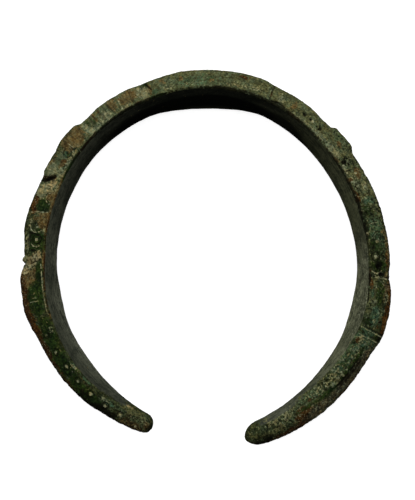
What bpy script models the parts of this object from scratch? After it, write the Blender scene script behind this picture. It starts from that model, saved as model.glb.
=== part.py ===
"""A cast bronze bracelet, open at the front: one solid bar, bent into a ring and lying on its edge.

The ring's axis is +Z and its gap faces -Y. A position along the bar is an angle in degrees, measured
clockwise from the back (+Y) as seen from above: the left terminal is at the negative end. Each
cross-section is drawn in two directions: out, away from the wrist, and up, along the inner wall.
Lengths are in metres.
"""

import math

import bmesh
import bpy
from mathutils import Matrix, Vector

# The bend

LEFT_TIP = -162.9
RIGHT_TIP = 168.3
LEFT_TIP_LENGTH = 0.0016
RIGHT_TIP_LENGTH = 0.0027
# The bend's centre stands a little off the origin, which is the middle of the whole piece.
BEND_CENTRE = (0.00018, 0.00054)
# Radius of the inner wall, as (angle, radius): bent by hand, so a little flat on its sides.
BEND = (
    (-165, 0.03265),
    (-150, 0.03185),
    (-135, 0.03125),
    (-115, 0.03045),
    (-90, 0.02940),
    (-70, 0.02920),
    (-45, 0.02950),
    (-20, 0.02975),
    (0, 0.02960),
    (20, 0.02980),
    (35, 0.02930),
    (60, 0.02875),
    (75, 0.02890),
    (95, 0.02970),
    (115, 0.03075),
    (130, 0.03100),
    (145, 0.03145),
    (157, 0.03230),
    (169, 0.03340),
)
# Lean of the section, as (angle, degrees): its top edge stands outside its bottom edge.
LEAN = (
    (-165, 9),
    (-150, 14.5),
    (-130, 17.5),
    (-112, 12.5),
    (-90, 10.5),
    (-55, 11),
    (-25, 12.5),
    (0, 12),
    (25, 11.5),
    (55, 11),
    (100, 10),
    (122, 13.5),
    (138, 11.5),
    (150, 0),
    (170, 2),
)

# The cross-section: a flat inner wall, two sloping faces and a bulging crest

BAR_HEIGHT = 0.0080
TIP_HEIGHT = 0.0056
THICKNESS = (
    (-165, 0.00320),
    (-150, 0.00400),
    (-135, 0.00480),
    (-115, 0.00505),
    (-66, 0.00510),
    (-43, 0.00490),
    (23, 0.00475),
    (44, 0.00460),
    (58, 0.00490),
    (97, 0.00495),
    (122, 0.00560),
    (140, 0.00575),
    (155, 0.00515),
    (169, 0.00395),
)
CREST_BULGE = (
    (-165, 0.0009),
    (112, 0.0009),
    (128, 0.0015),
    (150, 0.0016),
    (169, 0.0012),
)
CREST_POWER = 2.2
CREST_SHARE_OF_HEIGHT = 0.68
WALL_BELLY = 0.00025
RIM_BEVEL = 0.00030
# How far the section has worn and rounded from four sides into an oval, from 0 to 1.
ROUNDNESS = (
    (-165, 0.95),
    (-152, 0.60),
    (-138, 0.15),
    (-122, 0.0),
    (112, 0.0),
    (130, 0.35),
    (150, 0.80),
    (170, 0.95),
)

# Raised plates on the crest: first angle, last angle, rise, and the length of each end's slope in degrees

PLATES = {
    "left_shoulder": (-119.0, -93.6, 0.00075, 11.0, 4.2),
    "left_tooth": (-93.3, -91.0, 0.00032, 0.6, 1.4),
    "left_boss": (-89.0, -66.8, 0.00050, 8.4, 15.0),
    "left_slab": (-65.4, -53.0, 0.00030, 2.4, 2.7),
    "left_block": (-56.4, -43.9, 0.00066, 3.9, 2.8),
    "left_wave": (-41.9, -21.2, 0.00021, 5.2, 5.7),
    "back_panel": (-21.8, 22.8, 0.00043, 15.8, 4.6),
    "right_wave": (24.2, 42.5, 0.00021, 9.7, 7.7),
    "right_block": (44.5, 56.2, 0.00073, 1.8, 2.8),
    "right_boss": (59.7, 96.8, 0.00024, 13.0, 6.6),
    "right_shoulder": (97.4, 122.5, 0.00049, 5.4, 7.0),
}
PLATE_SHARE_ON_FACE = 0.35

# Places where the bar is taller and stands on the ground: centre, half length, height added above and below

FEET = {
    "back": (0.0, 23.0, 0.0012, 0.0012),
    "left": (-107.0, 14.0, 0.0006, 0.0012),
    "right": (108.0, 14.0, 0.0006, 0.0012),
}
REST_WEAR = 0.00022

# Cuts across the upper face: angle, slant, width, depth, and their reach from the rim (0) to the crest (1)

CUTS = {
    "left_line": (-76.6, 5, 0.0007, 0.00018, 0.05, 0.95),
    "left_notch": (-64.7, 25, 0.0012, 0.00095, 0.25, 1.05),
    "back_left_notch": (-19.4, 8, 0.0010, 0.00035, 0.20, 1.05),
    "back_right_notch": (22.3, 2, 0.0009, 0.00034, 0.0, 1.05),
    "block_line": (56.7, 2, 0.0009, 0.00022, 0.25, 0.95),
    "shoulder_line_a": (115.5, -4, 0.0007, 0.00028, 0.0, 0.95),
    "shoulder_line_b": (117.8, -4, 0.0007, 0.00028, 0.0, 0.95),
}

# How finely the solid is faceted

RING_STEP = 2.1
SHORT_SLOPE = 5.0
TIP_RINGS = 5
WALL_STEPS = 4
FACE_STEPS = 3
CREST_STEPS = 6

# The worn metal

PATINA_COLOUR = (0.070, 0.078, 0.038, 1.0)
PATINA_ROUGHNESS = 0.72
PATINA_METALLIC = 0.15


def clear_scene():
    for obj in list(bpy.data.objects):
        bpy.data.objects.remove(obj, do_unlink=True)


def smooth_step(share):
    share = min(1.0, max(0.0, share))
    return share * share * (3.0 - 2.0 * share)


def steepness(stations, k):
    """Slope of the smooth curve at station k: level wherever the stations turn back or stay level."""
    slopes = [(b[1] - a[1]) / (b[0] - a[0]) for a, b in zip(stations, stations[1:])]
    if k == 0 or k == len(slopes):
        return slopes[min(k, len(slopes) - 1)]
    before = slopes[k - 1]
    after = slopes[k]
    if before * after <= 0:
        return 0.0
    return 2 * before * after / (before + after)


def curve_at(stations, angle):
    """The value at this angle of a smooth curve through (angle, value) stations."""
    angle = min(max(angle, stations[0][0]), stations[-1][0])
    i = max(k for k in range(len(stations) - 1) if stations[k][0] <= angle)
    start, end = stations[i], stations[i + 1]
    span = end[0] - start[0]
    t = (angle - start[0]) / span
    return (
        start[1] * (2 * t**3 - 3 * t**2 + 1)
        + steepness(stations, i) * span * (t**3 - 2 * t**2 + t)
        + end[1] * (3 * t**2 - 2 * t**3)
        + steepness(stations, i + 1) * span * (t**3 - t**2)
    )


def plate_rise(angle):
    """How far the plates raise the crest here."""
    rise = 0.0
    for first, last, height, lead, tail in PLATES.values():
        rise += height * smooth_step((angle - first) / lead) * smooth_step((last - angle) / tail)
    return rise


def wall_ends(angle):
    """Heights of the inner wall's upper and lower ends, from its middle."""
    half = (BAR_HEIGHT - (BAR_HEIGHT - TIP_HEIGHT) * curve_at(ROUNDNESS, angle)) / 2
    upper = half
    lower = half
    for centre, half_length, above, below in FEET.values():
        away = min(1.0, abs(angle - centre) / half_length)
        swell = math.cos(away * math.pi / 2) ** 1.5
        upper += above * swell
        lower += below * swell
    return upper, lower


def shoulder_point(angle, wall_end):
    """Where the sloping face meets the crest, as (out, up)."""
    rise = plate_rise(angle)
    out = curve_at(THICKNESS, angle) + rise - curve_at(CREST_BULGE, angle)
    return out, wall_end * CREST_SHARE_OF_HEIGHT + rise * PLATE_SHARE_ON_FACE


def half_outline(angle, wall_end):
    """The upper half of the outline as (out, up) points, from the wall's middle to the crest's."""
    shoulder_out, shoulder_up = shoulder_point(angle, wall_end)
    points = []
    for i in range(WALL_STEPS // 2 + 1):
        up = (wall_end - RIM_BEVEL) * i * 2 / WALL_STEPS
        points.append((-WALL_BELLY * (1 - (up / wall_end) ** 2), up))
    for i in range(FACE_STEPS + 1):
        out = RIM_BEVEL + (shoulder_out - RIM_BEVEL) * i / FACE_STEPS
        points.append((out, wall_end + (shoulder_up - wall_end) * out / shoulder_out))
    for i in range(1, CREST_STEPS // 2 + 1):
        share = 1 - i * 2 / CREST_STEPS
        bulge = curve_at(CREST_BULGE, angle) * (1 - share**CREST_POWER)
        points.append((shoulder_out + bulge, shoulder_up * share))
    return points


def section(angle):
    """The closed outline at this angle as (out, up) points, and how far out its middle is."""
    upper, lower = wall_ends(angle)
    outline = [(out, up, upper) for out, up in half_outline(angle, upper)]
    outline += [(out, -up, lower) for out, up in half_outline(angle, lower)[-2:0:-1]]
    middle = (curve_at(THICKNESS, angle) + plate_rise(angle)) / 2
    roundness = curve_at(ROUNDNESS, angle)
    rounded = []
    for out, up, half in outline:
        turn = math.atan2(up / half, (out - middle) / middle)
        oval_out = middle + middle * math.cos(turn)
        oval_up = half * math.sin(turn)
        rounded.append((out + (oval_out - out) * roundness, up + (oval_up - up) * roundness))
    return rounded, middle


def rest_level():
    """Height above the ground of the inner wall's middle, once the feet have worn by REST_WEAR."""
    angle = FEET["back"][0]
    return wall_ends(angle)[1] * math.cos(math.radians(curve_at(LEAN, angle))) - REST_WEAR


def section_frame(angle):
    """Placement of the section at this angle: its X is out, its Y lies along the bar and its Z is up."""
    centre = Matrix.Translation((*BEND_CENTRE, rest_level()))
    turned = Matrix.Rotation(math.radians(90 - angle), 4, "Z")
    moved = Matrix.Translation((curve_at(BEND, angle), 0.0, 0.0))
    leaned = Matrix.Rotation(math.radians(curve_at(LEAN, angle)), 4, "Y")
    return centre @ turned @ moved @ leaned


def ring_points(angle, shrink=1.0):
    """The section at this angle, in space. shrink draws it in towards its middle, as it closes at a tip."""
    outline, middle = section(angle)
    frame = section_frame(angle)
    return [frame @ Vector((middle + (out - middle) * shrink, 0.0, up * shrink)) for out, up in outline]


def ring_stations():
    """(angle, shrink) of each ring of points from tip to tip, closer where a plate ends in a short slope."""
    left_turn = math.degrees(LEFT_TIP_LENGTH / curve_at(BEND, LEFT_TIP))
    right_turn = math.degrees(RIGHT_TIP_LENGTH / curve_at(BEND, RIGHT_TIP))
    first = LEFT_TIP + left_turn
    last = RIGHT_TIP - right_turn
    kept = [first, last]
    for start, end, _, lead, tail in PLATES.values():
        if lead < SHORT_SLOPE:
            kept += [start, start + lead / 2, start + lead]
        if tail < SHORT_SLOPE:
            kept += [end - tail, end - tail / 2, end]
    count = round((last - first) / RING_STEP)
    evenly = [first + (last - first) * i / count for i in range(1, count)]
    kept += [angle for angle in evenly if all(abs(angle - other) > RING_STEP / 3 for other in kept)]
    rings = [(angle, 1.0) for angle in sorted(kept)]
    for i in range(1, TIP_RINGS):
        turn = math.pi / 2 * i / TIP_RINGS
        rings.insert(0, (first - left_turn * math.sin(turn), math.cos(turn)))
        rings.append((last + right_turn * math.sin(turn), math.cos(turn)))
    return rings


def build_bar():
    """The whole bar as one loft, from a point at the left tip to a point at the right one."""
    mesh = bpy.data.meshes.new("bracelet")
    bm = bmesh.new()
    rings = [[bm.verts.new(point) for point in ring_points(*station)] for station in ring_stations()]
    size = len(rings[0])
    for ring, following in zip(rings, rings[1:]):
        for i in range(size):
            j = (i + 1) % size
            bm.faces.new((ring[i], ring[j], following[j], following[i]))
    for ring, angle in ((rings[0], LEFT_TIP), (rings[-1], RIGHT_TIP)):
        tip = bm.verts.new(ring_points(angle, 0.0)[0])
        for i in range(size):
            bm.faces.new((ring[i], ring[(i + 1) % size], tip))
    bmesh.ops.recalc_face_normals(bm, faces=bm.faces)
    bm.to_mesh(mesh)
    bm.free()
    return bpy.data.objects.new("bracelet", mesh)


def box_cutter(name, placement):
    """A cube with edges of 1, shaped and placed by one matrix."""
    mesh = bpy.data.meshes.new(name)
    bm = bmesh.new()
    bmesh.ops.create_cube(bm, size=1.0, matrix=placement)
    bm.to_mesh(mesh)
    bm.free()
    cutter = bpy.data.objects.new(name, mesh)
    cutter.display_type = "WIRE"
    cutter.hide_render = True
    return cutter


def groove_cutter(name, angle, slant, width, depth, start, end):
    """A box turned on its edge, half sunk in the upper face: it leaves a V of this width and depth."""
    rim_up = wall_ends(angle)[0]
    shoulder_out, shoulder_up = shoulder_point(angle, rim_up)
    rim = Vector((0.0, 0.0, rim_up))
    across = Vector((shoulder_out, 0.0, shoulder_up)) - rim
    middle = Matrix.Translation(rim + across * (start + end) / 2)
    sloped = Matrix.Rotation(math.atan2(-across.z, across.x), 4, "Y")
    slanted = Matrix.Rotation(math.radians(slant), 4, "Z")
    edge = math.sqrt(2) / 2
    sized = Matrix.Diagonal((across.length * (end - start), width * edge, depth * 2 * edge, 1.0))
    on_edge = Matrix.Rotation(math.radians(45), 4, "X")
    return box_cutter(name, section_frame(angle) @ middle @ sloped @ slanted @ sized @ on_edge)


def ground_cutter():
    """Everything below the ground, to leave the three worn flats."""
    room = 0.1
    return box_cutter("ground", Matrix.Translation((0.0, 0.0, -room / 2)) @ Matrix.Scale(room, 4))


def cut_away(bar, cutters):
    for cutter in cutters:
        cut = bar.modifiers.new(cutter.name, "BOOLEAN")
        cut.operation = "DIFFERENCE"
        cut.solver = "EXACT"
        cut.object = cutter


def patina():
    material = bpy.data.materials.new("bronze_patina")
    material.use_nodes = True
    shader = material.node_tree.nodes["Principled BSDF"]
    shader.inputs["Base Color"].default_value = PATINA_COLOUR
    shader.inputs["Roughness"].default_value = PATINA_ROUGHNESS
    shader.inputs["Metallic"].default_value = PATINA_METALLIC
    return material


def main():
    clear_scene()
    shown = bpy.data.collections.new("Bracelet")
    hidden = bpy.data.collections.new("Cutters")
    hidden.hide_render = True
    for collection in (shown, hidden):
        bpy.context.scene.collection.children.link(collection)
    bar = build_bar()
    bar.data.materials.append(patina())
    shown.objects.link(bar)
    cutters = [groove_cutter(name, *sizes) for name, sizes in CUTS.items()]
    cutters.append(ground_cutter())
    for cutter in cutters:
        hidden.objects.link(cutter)
    cut_away(bar, cutters)


main()
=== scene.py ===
# %% [markdown]
# # An ancient bronze bracelet
#
# The object is one bar of bronze. It was cast, bent by hand into an open ring, finished with raised plates,
# grooves and small punched rings, and then lay in the ground for a very long time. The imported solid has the
# right outline and the main steps. This lesson gives it a fine skin of the same sizes, works the marks into
# that skin, lets it corrode, and colours the patina.

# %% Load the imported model

import math

import bpy
import numpy as np
from mathutils import Matrix, Vector


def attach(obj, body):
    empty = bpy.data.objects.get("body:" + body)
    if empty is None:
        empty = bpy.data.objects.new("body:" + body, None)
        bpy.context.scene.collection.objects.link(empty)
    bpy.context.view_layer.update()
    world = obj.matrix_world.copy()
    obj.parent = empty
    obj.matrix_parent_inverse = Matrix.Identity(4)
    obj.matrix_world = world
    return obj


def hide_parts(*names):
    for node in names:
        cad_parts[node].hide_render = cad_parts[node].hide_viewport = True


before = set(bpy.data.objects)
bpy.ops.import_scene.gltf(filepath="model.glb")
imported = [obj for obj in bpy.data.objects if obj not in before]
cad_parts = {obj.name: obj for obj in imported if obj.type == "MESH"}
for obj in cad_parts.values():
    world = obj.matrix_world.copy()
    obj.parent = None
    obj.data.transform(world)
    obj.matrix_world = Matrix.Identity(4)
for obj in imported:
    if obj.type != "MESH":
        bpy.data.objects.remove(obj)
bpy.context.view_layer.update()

MM = 0.001

# %% [markdown]
# ## The camera
#
# The bracelet was photographed from almost straight above, as it lay on its edge. How the inner wall shows
# all round tells how far away the camera was and how little it was tilted. Blender could aim a camera with a
# constraint, but a matrix made of the same few numbers says it more plainly: tilt, aim, then step back.

# %% Place the camera

PHOTO_SIZE = (415, 500)
BEND_CENTRE = (0.18, 0.54)
BEND_CENTRE_PIXEL = (206.5, 252.5)
PIXELS_PER_MM = 5.286
VIEW_DISTANCE = 220.0
VIEW_TILT = 5.0
AIM_HEIGHT = 5.2
SENSOR = 36.0
NEAREST_SEEN = 10.0


def place_camera():
    """A camera that sees the ring at the size and the place that the photograph shows."""
    data = bpy.data.cameras.new("camera")
    data.sensor_width = SENSOR
    data.lens = SENSOR * PIXELS_PER_MM * VIEW_DISTANCE / max(PHOTO_SIZE)
    data.clip_start = NEAREST_SEEN * MM
    camera = bpy.data.objects.new("camera", data)
    bpy.context.scene.collection.objects.link(camera)
    tilt = Matrix.Rotation(math.radians(VIEW_TILT), 4, "X")
    right = (PHOTO_SIZE[0] / 2 - BEND_CENTRE_PIXEL[0]) / PIXELS_PER_MM
    up = (BEND_CENTRE_PIXEL[1] - PHOTO_SIZE[1] / 2) / PIXELS_PER_MM
    aim = Vector((*BEND_CENTRE, AIM_HEIGHT))
    place = aim + tilt @ Vector((right, up, VIEW_DISTANCE))
    camera.matrix_world = Matrix.Translation(place * MM) @ tilt
    bpy.context.scene.camera = camera
    print("camera lens, in mm:", round(data.lens, 1))


place_camera()

# %% [markdown]
# ## Floor and light
#
# The light is one broad soft panel, high up behind the back of the ring, so the inside of the back lies in
# deep shade and the insides of the two arms are lit. Three weak panels, one in front and one low on each
# side, keep the other faces from going black. The floor is a white lit table: it glows a little by itself, so
# the shadow on it stays faint. It isn't allowed to light the metal from below, which would wash out the shade
# on the inner wall.

# %% Build the floor and the lights

WHITE = (1.0, 1.0, 1.0, 1.0)
FLOOR_GREY = (0.5, 0.5, 0.5, 1.0)
FLOOR_SIZE = 3.0
FLOOR_GLOW = 0.88
PANEL_DISTANCE = 0.6


def lit_table():
    """A wide white floor just under the bracelet."""
    material = bpy.data.materials.new("lit_table")
    material.use_nodes = True
    shader = material.node_tree.nodes["Principled BSDF"]
    shader.inputs["Base Color"].default_value = FLOOR_GREY
    shader.inputs["Roughness"].default_value = 1.0
    shader.inputs["Specular IOR Level"].default_value = 0.0
    shader.inputs["Emission Color"].default_value = WHITE
    shader.inputs["Emission Strength"].default_value = FLOOR_GLOW
    bpy.ops.mesh.primitive_plane_add(size=FLOOR_SIZE)
    floor = bpy.context.object
    floor.name = "floor"
    floor.data.materials.append(material)
    floor.visible_diffuse = False
    floor.visible_glossy = False


def light_panel(name, azimuth, elevation, size, power):
    """A square soft light. Its azimuth turns clockwise from the back of the ring, seen from above."""
    data = bpy.data.lights.new(name, "AREA")
    data.shape = "SQUARE"
    data.size = size
    data.energy = power
    panel = bpy.data.objects.new(name, data)
    turn = math.radians(azimuth)
    rise = math.radians(elevation)
    direction = Vector((math.sin(turn) * math.cos(rise), math.cos(turn) * math.cos(rise), math.sin(rise)))
    turned = direction.to_track_quat("Z", "Y").to_matrix().to_4x4()
    panel.matrix_world = Matrix.Translation(direction * PANEL_DISTANCE) @ turned
    panel.visible_camera = False
    bpy.context.scene.collection.objects.link(panel)


def white_backdrop():
    """What the camera sees past the floor. It gives no light to the metal."""
    world = bpy.data.worlds.new("backdrop")
    world.use_nodes = True
    background = world.node_tree.nodes["Background"]
    background.inputs["Color"].default_value = WHITE
    bpy.context.scene.world = world
    world.cycles_visibility.diffuse = False
    world.cycles_visibility.glossy = False


lit_table()
white_backdrop()
light_panel("high_back_panel", azimuth=-12, elevation=45, size=1.2, power=7.0)
light_panel("weak_front_panel", azimuth=175, elevation=25, size=0.6, power=0.50)
light_panel("left_side_panel", azimuth=-110, elevation=14, size=0.3, power=0.60)
light_panel("right_side_panel", azimuth=110, elevation=14, size=0.3, power=0.60)
bpy.context.scene.view_settings.view_transform = "Standard"
lights = [item for item in bpy.context.scene.objects if item.type == "LIGHT"]
print(len(lights), "light panels,", PANEL_DISTANCE, "m from the middle")

# %% [markdown]
# ## Writing node trees as sums
#
# The skin, the marks and the patina are all node trees. Placed by hand, a formula of ten nodes is hard to
# read back. Here a small class stands for a node's output and takes Python's own plus, minus, times and
# divide, so a formula in a tree reads like a formula on paper. Every other node is added by one method, which
# sets the node's settings first, because they decide which sockets it has.

# %% Wrap node outputs


class Value:
    """The output of a node, for use in sums. It comes first in them, except after a number and a minus."""

    def __init__(self, graph, socket):
        self.graph = graph
        self.socket = socket

    def other(self, name):
        """Another output of the same node."""
        return Value(self.graph, pick(self.socket.node.outputs, name))

    def __add__(self, value):
        return self.graph.math("ADD", self, value)

    def __sub__(self, value):
        return self.graph.math("SUBTRACT", self, value)

    def __rsub__(self, value):
        return self.graph.math("SUBTRACT", value, self)

    def __mul__(self, value):
        return self.graph.math("MULTIPLY", self, value)

    def __truediv__(self, value):
        return self.graph.math("DIVIDE", self, value)

    def __pow__(self, value):
        return self.graph.math("POWER", self, value)

    def __neg__(self):
        return self.graph.math("MULTIPLY", self, -1.0)


def pick(sockets, key):
    """A socket by its place, or by its name among those that the node's settings leave in use."""
    if isinstance(key, int):
        return sockets[key]
    return next(socket for socket in sockets if socket.name == key and socket.enabled)


class Graph:
    """One node tree, and the one way to add a node to it."""

    def __init__(self, tree):
        self.tree = tree

    def add(self, kind, settings=None, values=None, output=0):
        """Adds a node: its settings first, then a number or a link for each socket that is named."""
        node = self.tree.nodes.new(kind)
        for name, setting in (settings or {}).items():
            setattr(node, name, setting)
        for key, value in (values or {}).items():
            socket = pick(node.inputs, key)
            if isinstance(value, Value):
                self.tree.links.new(value.socket, socket)
            else:
                socket.default_value = value
        return Value(self, pick(node.outputs, output))

    def math(self, operation, *values):
        """One sum. The values fill the node's sockets in order."""
        return self.add("ShaderNodeMath", {"operation": operation}, dict(enumerate(values)))

    def vector_math(self, operation, *values, output="Vector"):
        """The same for vectors, part by part."""
        return self.add("ShaderNodeVectorMath", {"operation": operation}, dict(enumerate(values)), output)

    def scale(self, vector, factor):
        return self.add("ShaderNodeVectorMath", {"operation": "SCALE"}, {"Vector": vector, "Scale": factor})

    def vector(self, x, y, z):
        return self.add("ShaderNodeCombineXYZ", values={0: x, 1: y, 2: z})

    def parts(self, vector):
        """The three parts of a vector."""
        first = self.add("ShaderNodeSeparateXYZ", values={0: vector})
        return first, first.other("Y"), first.other("Z")

    def step(self, value, start, end):
        """Rises smoothly from 0 at start to 1 at end."""
        settings = {"interpolation_type": "SMOOTHSTEP"}
        return self.add("ShaderNodeMapRange", settings, {"Value": value, "From Min": start, "From Max": end})

    def noise(self, vector, size, seed=0.0, detail=2.0, roughness=0.5):
        """Cloudy values round 0.5. size is that of the clouds, in the units of the vector."""
        settings = {"noise_dimensions": "4D"}
        values = {"Vector": vector, "W": seed, "Scale": 1.0 / size, "Detail": detail, "Roughness": roughness}
        return self.add("ShaderNodeTexNoise", settings, values)

    def uneven(self, vector, size, seed, most, detail=2.0, roughness=0.5):
        """Noise that goes about as far as most above and below 0."""
        return (self.noise(vector, size, seed, detail, roughness) - 0.5) * 2.0 * most

    def named(self, name, kind="FLOAT"):
        """What each point carries under this name."""
        return self.add("GeometryNodeInputNamedAttribute", {"data_type": kind}, {"Name": name})

    def push_out(self, geometry, height):
        """Moves each point out along its normal by this many millimetres."""
        normal = self.add("GeometryNodeInputNormal")
        return self.add("GeometryNodeSetPosition", values={
            "Geometry": geometry, "Offset": self.scale(normal, height * MM),
        })


# %% [markdown]
# ## Running a geometry tree
#
# A geometry tree works like any other modifier: an object gets it, with a value for each of its named inputs.
# Here the result then becomes the object's own mesh, so the next tree starts from it. Numbers that differ
# from place to place go in as helper objects, made of loose points that carry them.

# %% Start and run a geometry tree


def start_tree(name, inputs):
    """A new Geometry Nodes tree: its graph, and its named inputs as values. inputs gives each one's kind."""
    tree = bpy.data.node_groups.new(name, "GeometryNodeTree")
    tree.interface.new_socket("Geometry", in_out="INPUT", socket_type="NodeSocketGeometry")
    tree.interface.new_socket("Geometry", in_out="OUTPUT", socket_type="NodeSocketGeometry")
    for label, kind in inputs.items():
        tree.interface.new_socket(label, in_out="INPUT", socket_type="NodeSocket" + kind)
    graph = Graph(tree)
    source = graph.add("NodeGroupInput")
    given = {label: source.other(label) for label in inputs}
    given["Geometry"] = source
    return graph, given


def end_tree(graph, geometry, material):
    """Ends a tree: instances made real, the material set, and all of it handed out."""
    real = graph.add("GeometryNodeRealizeInstances", values={"Geometry": geometry})
    finished = graph.add("GeometryNodeSetMaterial", values={"Geometry": real, "Material": material})
    result = graph.tree.nodes.new("NodeGroupOutput")
    graph.tree.links.new(finished.socket, result.inputs[0])
    return graph.tree


def run_tree(obj, tree, values):
    """Runs a tree on an object and makes the result the object's own plain mesh."""
    modifier = obj.modifiers.new(tree.name, "NODES")
    modifier.node_group = tree
    for item in tree.interface.items_tree:
        if item.in_out == "INPUT" and item.name in values:
            modifier[item.identifier] = values[item.name]
    depsgraph = bpy.context.evaluated_depsgraph_get()
    made = obj.evaluated_get(depsgraph)
    mesh = bpy.data.meshes.new_from_object(made, preserve_all_data_layers=True, depsgraph=depsgraph)
    obj.modifiers.remove(modifier)
    obj.data = mesh
    print(tree.name, "made", len(mesh.vertices), "points and", len(mesh.polygons), "faces")


def point_set(name, places, values):
    """A helper object of loose points that each carry named numbers, for a tree to read."""
    mesh = bpy.data.meshes.new(name)
    mesh.vertices.add(len(places))
    mesh.vertices.foreach_set("co", np.array(places, dtype=float).ravel())
    for label, numbers in values.items():
        mesh.attributes.new(label, "FLOAT", "POINT").data.foreach_set("value", np.array(numbers, dtype=float))
    helper = bpy.data.objects.new(name, mesh)
    bpy.context.scene.collection.objects.link(helper)
    return helper


# %% [markdown]
# ## The bar's sizes
#
# A place along the bar is an angle, clockwise from the back of the ring. Each size is a short list of
# stations, an angle and a value, with a smooth curve through them that never swings past a station. These
# are the same lists that the solid is built from, in millimetres here. Blender's own curves could carry the
# bend, but a cross-section that changes in seven ways at once is easier to follow as seven short lists.

# %% List the sizes

LEFT_TIP = -162.9
RIGHT_TIP = 168.3
TIP_LENGTHS = (1.6, 2.7)
BEND = (
    (-165, 32.65), (-150, 31.85), (-135, 31.25), (-115, 30.45), (-90, 29.40), (-70, 29.20), (-45, 29.50),
    (-20, 29.75), (0, 29.60), (20, 29.80), (35, 29.30), (60, 28.75), (75, 28.90), (95, 29.70), (115, 30.75),
    (130, 31.00), (145, 31.45), (157, 32.30), (169, 33.40),
)
LEAN = (
    (-165, 9), (-150, 14.5), (-130, 17.5), (-112, 12.5), (-90, 10.5), (-55, 11), (-25, 12.5), (0, 12),
    (25, 11.5), (55, 11), (100, 10), (122, 13.5), (138, 11.5), (150, 0), (170, 2),
)
BAR_HEIGHT = 8.0
TIP_HEIGHT = 5.6
THICKNESS = (
    (-165, 3.20), (-150, 4.00), (-135, 4.80), (-115, 5.05), (-66, 5.10), (-43, 4.90), (23, 4.75),
    (44, 4.60), (58, 4.90), (97, 4.95), (122, 5.60), (140, 5.75), (155, 5.15), (169, 3.95),
)
CREST_BULGE = ((-165, 0.9), (112, 0.9), (128, 1.5), (150, 1.6), (169, 1.2))
CREST_POWER = 2.2
CREST_SHARE_OF_HEIGHT = 0.68
WALL_BELLY = 0.25
RIM_BEVEL = 0.30
ROUNDNESS = (
    (-165, 0.95), (-152, 0.60), (-138, 0.15), (-122, 0.0), (112, 0.0), (130, 0.35), (150, 0.80), (170, 0.95),
)
# Raised plates: first angle, last angle, rise, and the length of each end's slope in degrees.
PLATES = {
    "left_shoulder": (-119.0, -93.6, 0.75, 11.0, 4.2),
    "left_tooth": (-93.3, -91.0, 0.32, 0.6, 1.4),
    "left_boss": (-89.0, -66.8, 0.50, 8.4, 15.0),
    "left_slab": (-65.4, -53.0, 0.30, 2.4, 2.7),
    "left_block": (-56.4, -43.9, 0.66, 3.9, 2.8),
    "left_wave": (-41.9, -21.2, 0.21, 5.2, 5.7),
    "back_panel": (-21.8, 22.8, 0.43, 15.8, 4.6),
    "right_wave": (24.2, 42.5, 0.21, 9.7, 7.7),
    "right_block": (44.5, 56.2, 0.73, 1.8, 2.8),
    "right_boss": (59.7, 96.8, 0.24, 13.0, 6.6),
    "right_shoulder": (97.4, 122.5, 0.49, 5.4, 7.0),
}
PLATE_SHARE_ON_FACE = 0.35
# Places that the ring lies on: centre, half length, height added above and below.
FEET = {
    "back": (0.0, 23.0, 1.2, 1.2),
    "left": (-107.0, 14.0, 0.6, 1.2),
    "right": (108.0, 14.0, 0.6, 1.2),
}
FOOT_POWER = 1.5
REST_WEAR = 0.22

print("sizes listed, with", len(PLATES), "plates and", len(FEET), "places to lie on")

# %% Work the sizes out at any angle


def curve_at(stations, angles):
    """Values, at these angles, of the smooth curve through (angle, value) stations."""
    at, value = np.array(stations, dtype=float).T
    span = np.diff(at)
    secant = np.diff(value) / span
    slope = np.empty(len(at))
    slope[0] = secant[0]
    slope[-1] = secant[-1]
    product = secant[:-1] * secant[1:]
    total = np.where(product > 0, secant[:-1] + secant[1:], 1.0)
    slope[1:-1] = np.where(product > 0, 2 * product / total, 0.0)
    angles = np.clip(angles, at[0], at[-1])
    i = np.clip(np.searchsorted(at, angles, side="right") - 1, 0, len(span) - 1)
    t = (angles - at[i]) / span[i]
    return (
        value[i] * (2 * t**3 - 3 * t**2 + 1)
        + slope[i] * span[i] * (t**3 - 2 * t**2 + t)
        + value[i + 1] * (3 * t**2 - 2 * t**3)
        + slope[i + 1] * span[i] * (t**3 - t**2)
    )


def wall_ends(angles):
    """Heights of the inner wall's upper and lower ends, from its middle."""
    upper = (BAR_HEIGHT - (BAR_HEIGHT - TIP_HEIGHT) * curve_at(ROUNDNESS, angles)) / 2
    lower = upper.copy()
    for centre, half_length, above, below in FEET.values():
        away = np.minimum(1.0, np.abs(angles - centre) / half_length)
        swell = np.maximum(0.0, np.cos(away * math.pi / 2)) ** FOOT_POWER
        upper += above * swell
        lower += below * swell
    return upper, lower


at_back = np.array([0.0])
wall_below = wall_ends(at_back)[1] * np.cos(np.radians(curve_at(LEAN, at_back)))
REST_LEVEL = float(wall_below[0]) - REST_WEAR
print("the wall's middle lies", round(REST_LEVEL, 2), "mm above the floor at the back")

# %% [markdown]
# ## Rows along the bar, columns round it
#
# The skin is a grid of points, wrapped round the bar. A row is one angle, and near a tip the rows draw
# together and shrink to a point. A column is one place on the outline: on the wall, on the bevelled corner,
# on the sloping face or on the crest. The upper face carries the marks, so its columns lie closest. Both
# lists become helper objects, whose points carry these numbers into the tree.

# %% Make the rows and the outline

ROW_STEP = 0.156
TIP_ROWS = 15
WALL, CORNER, FACE, CREST = range(4)
UPPER_COLUMNS = ((WALL, 10), (CORNER, 2), (FACE, 32), (CREST, 10))
LOWER_COLUMNS = ((CREST, 8), (FACE, 8), (CORNER, 2), (WALL, 6))


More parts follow.
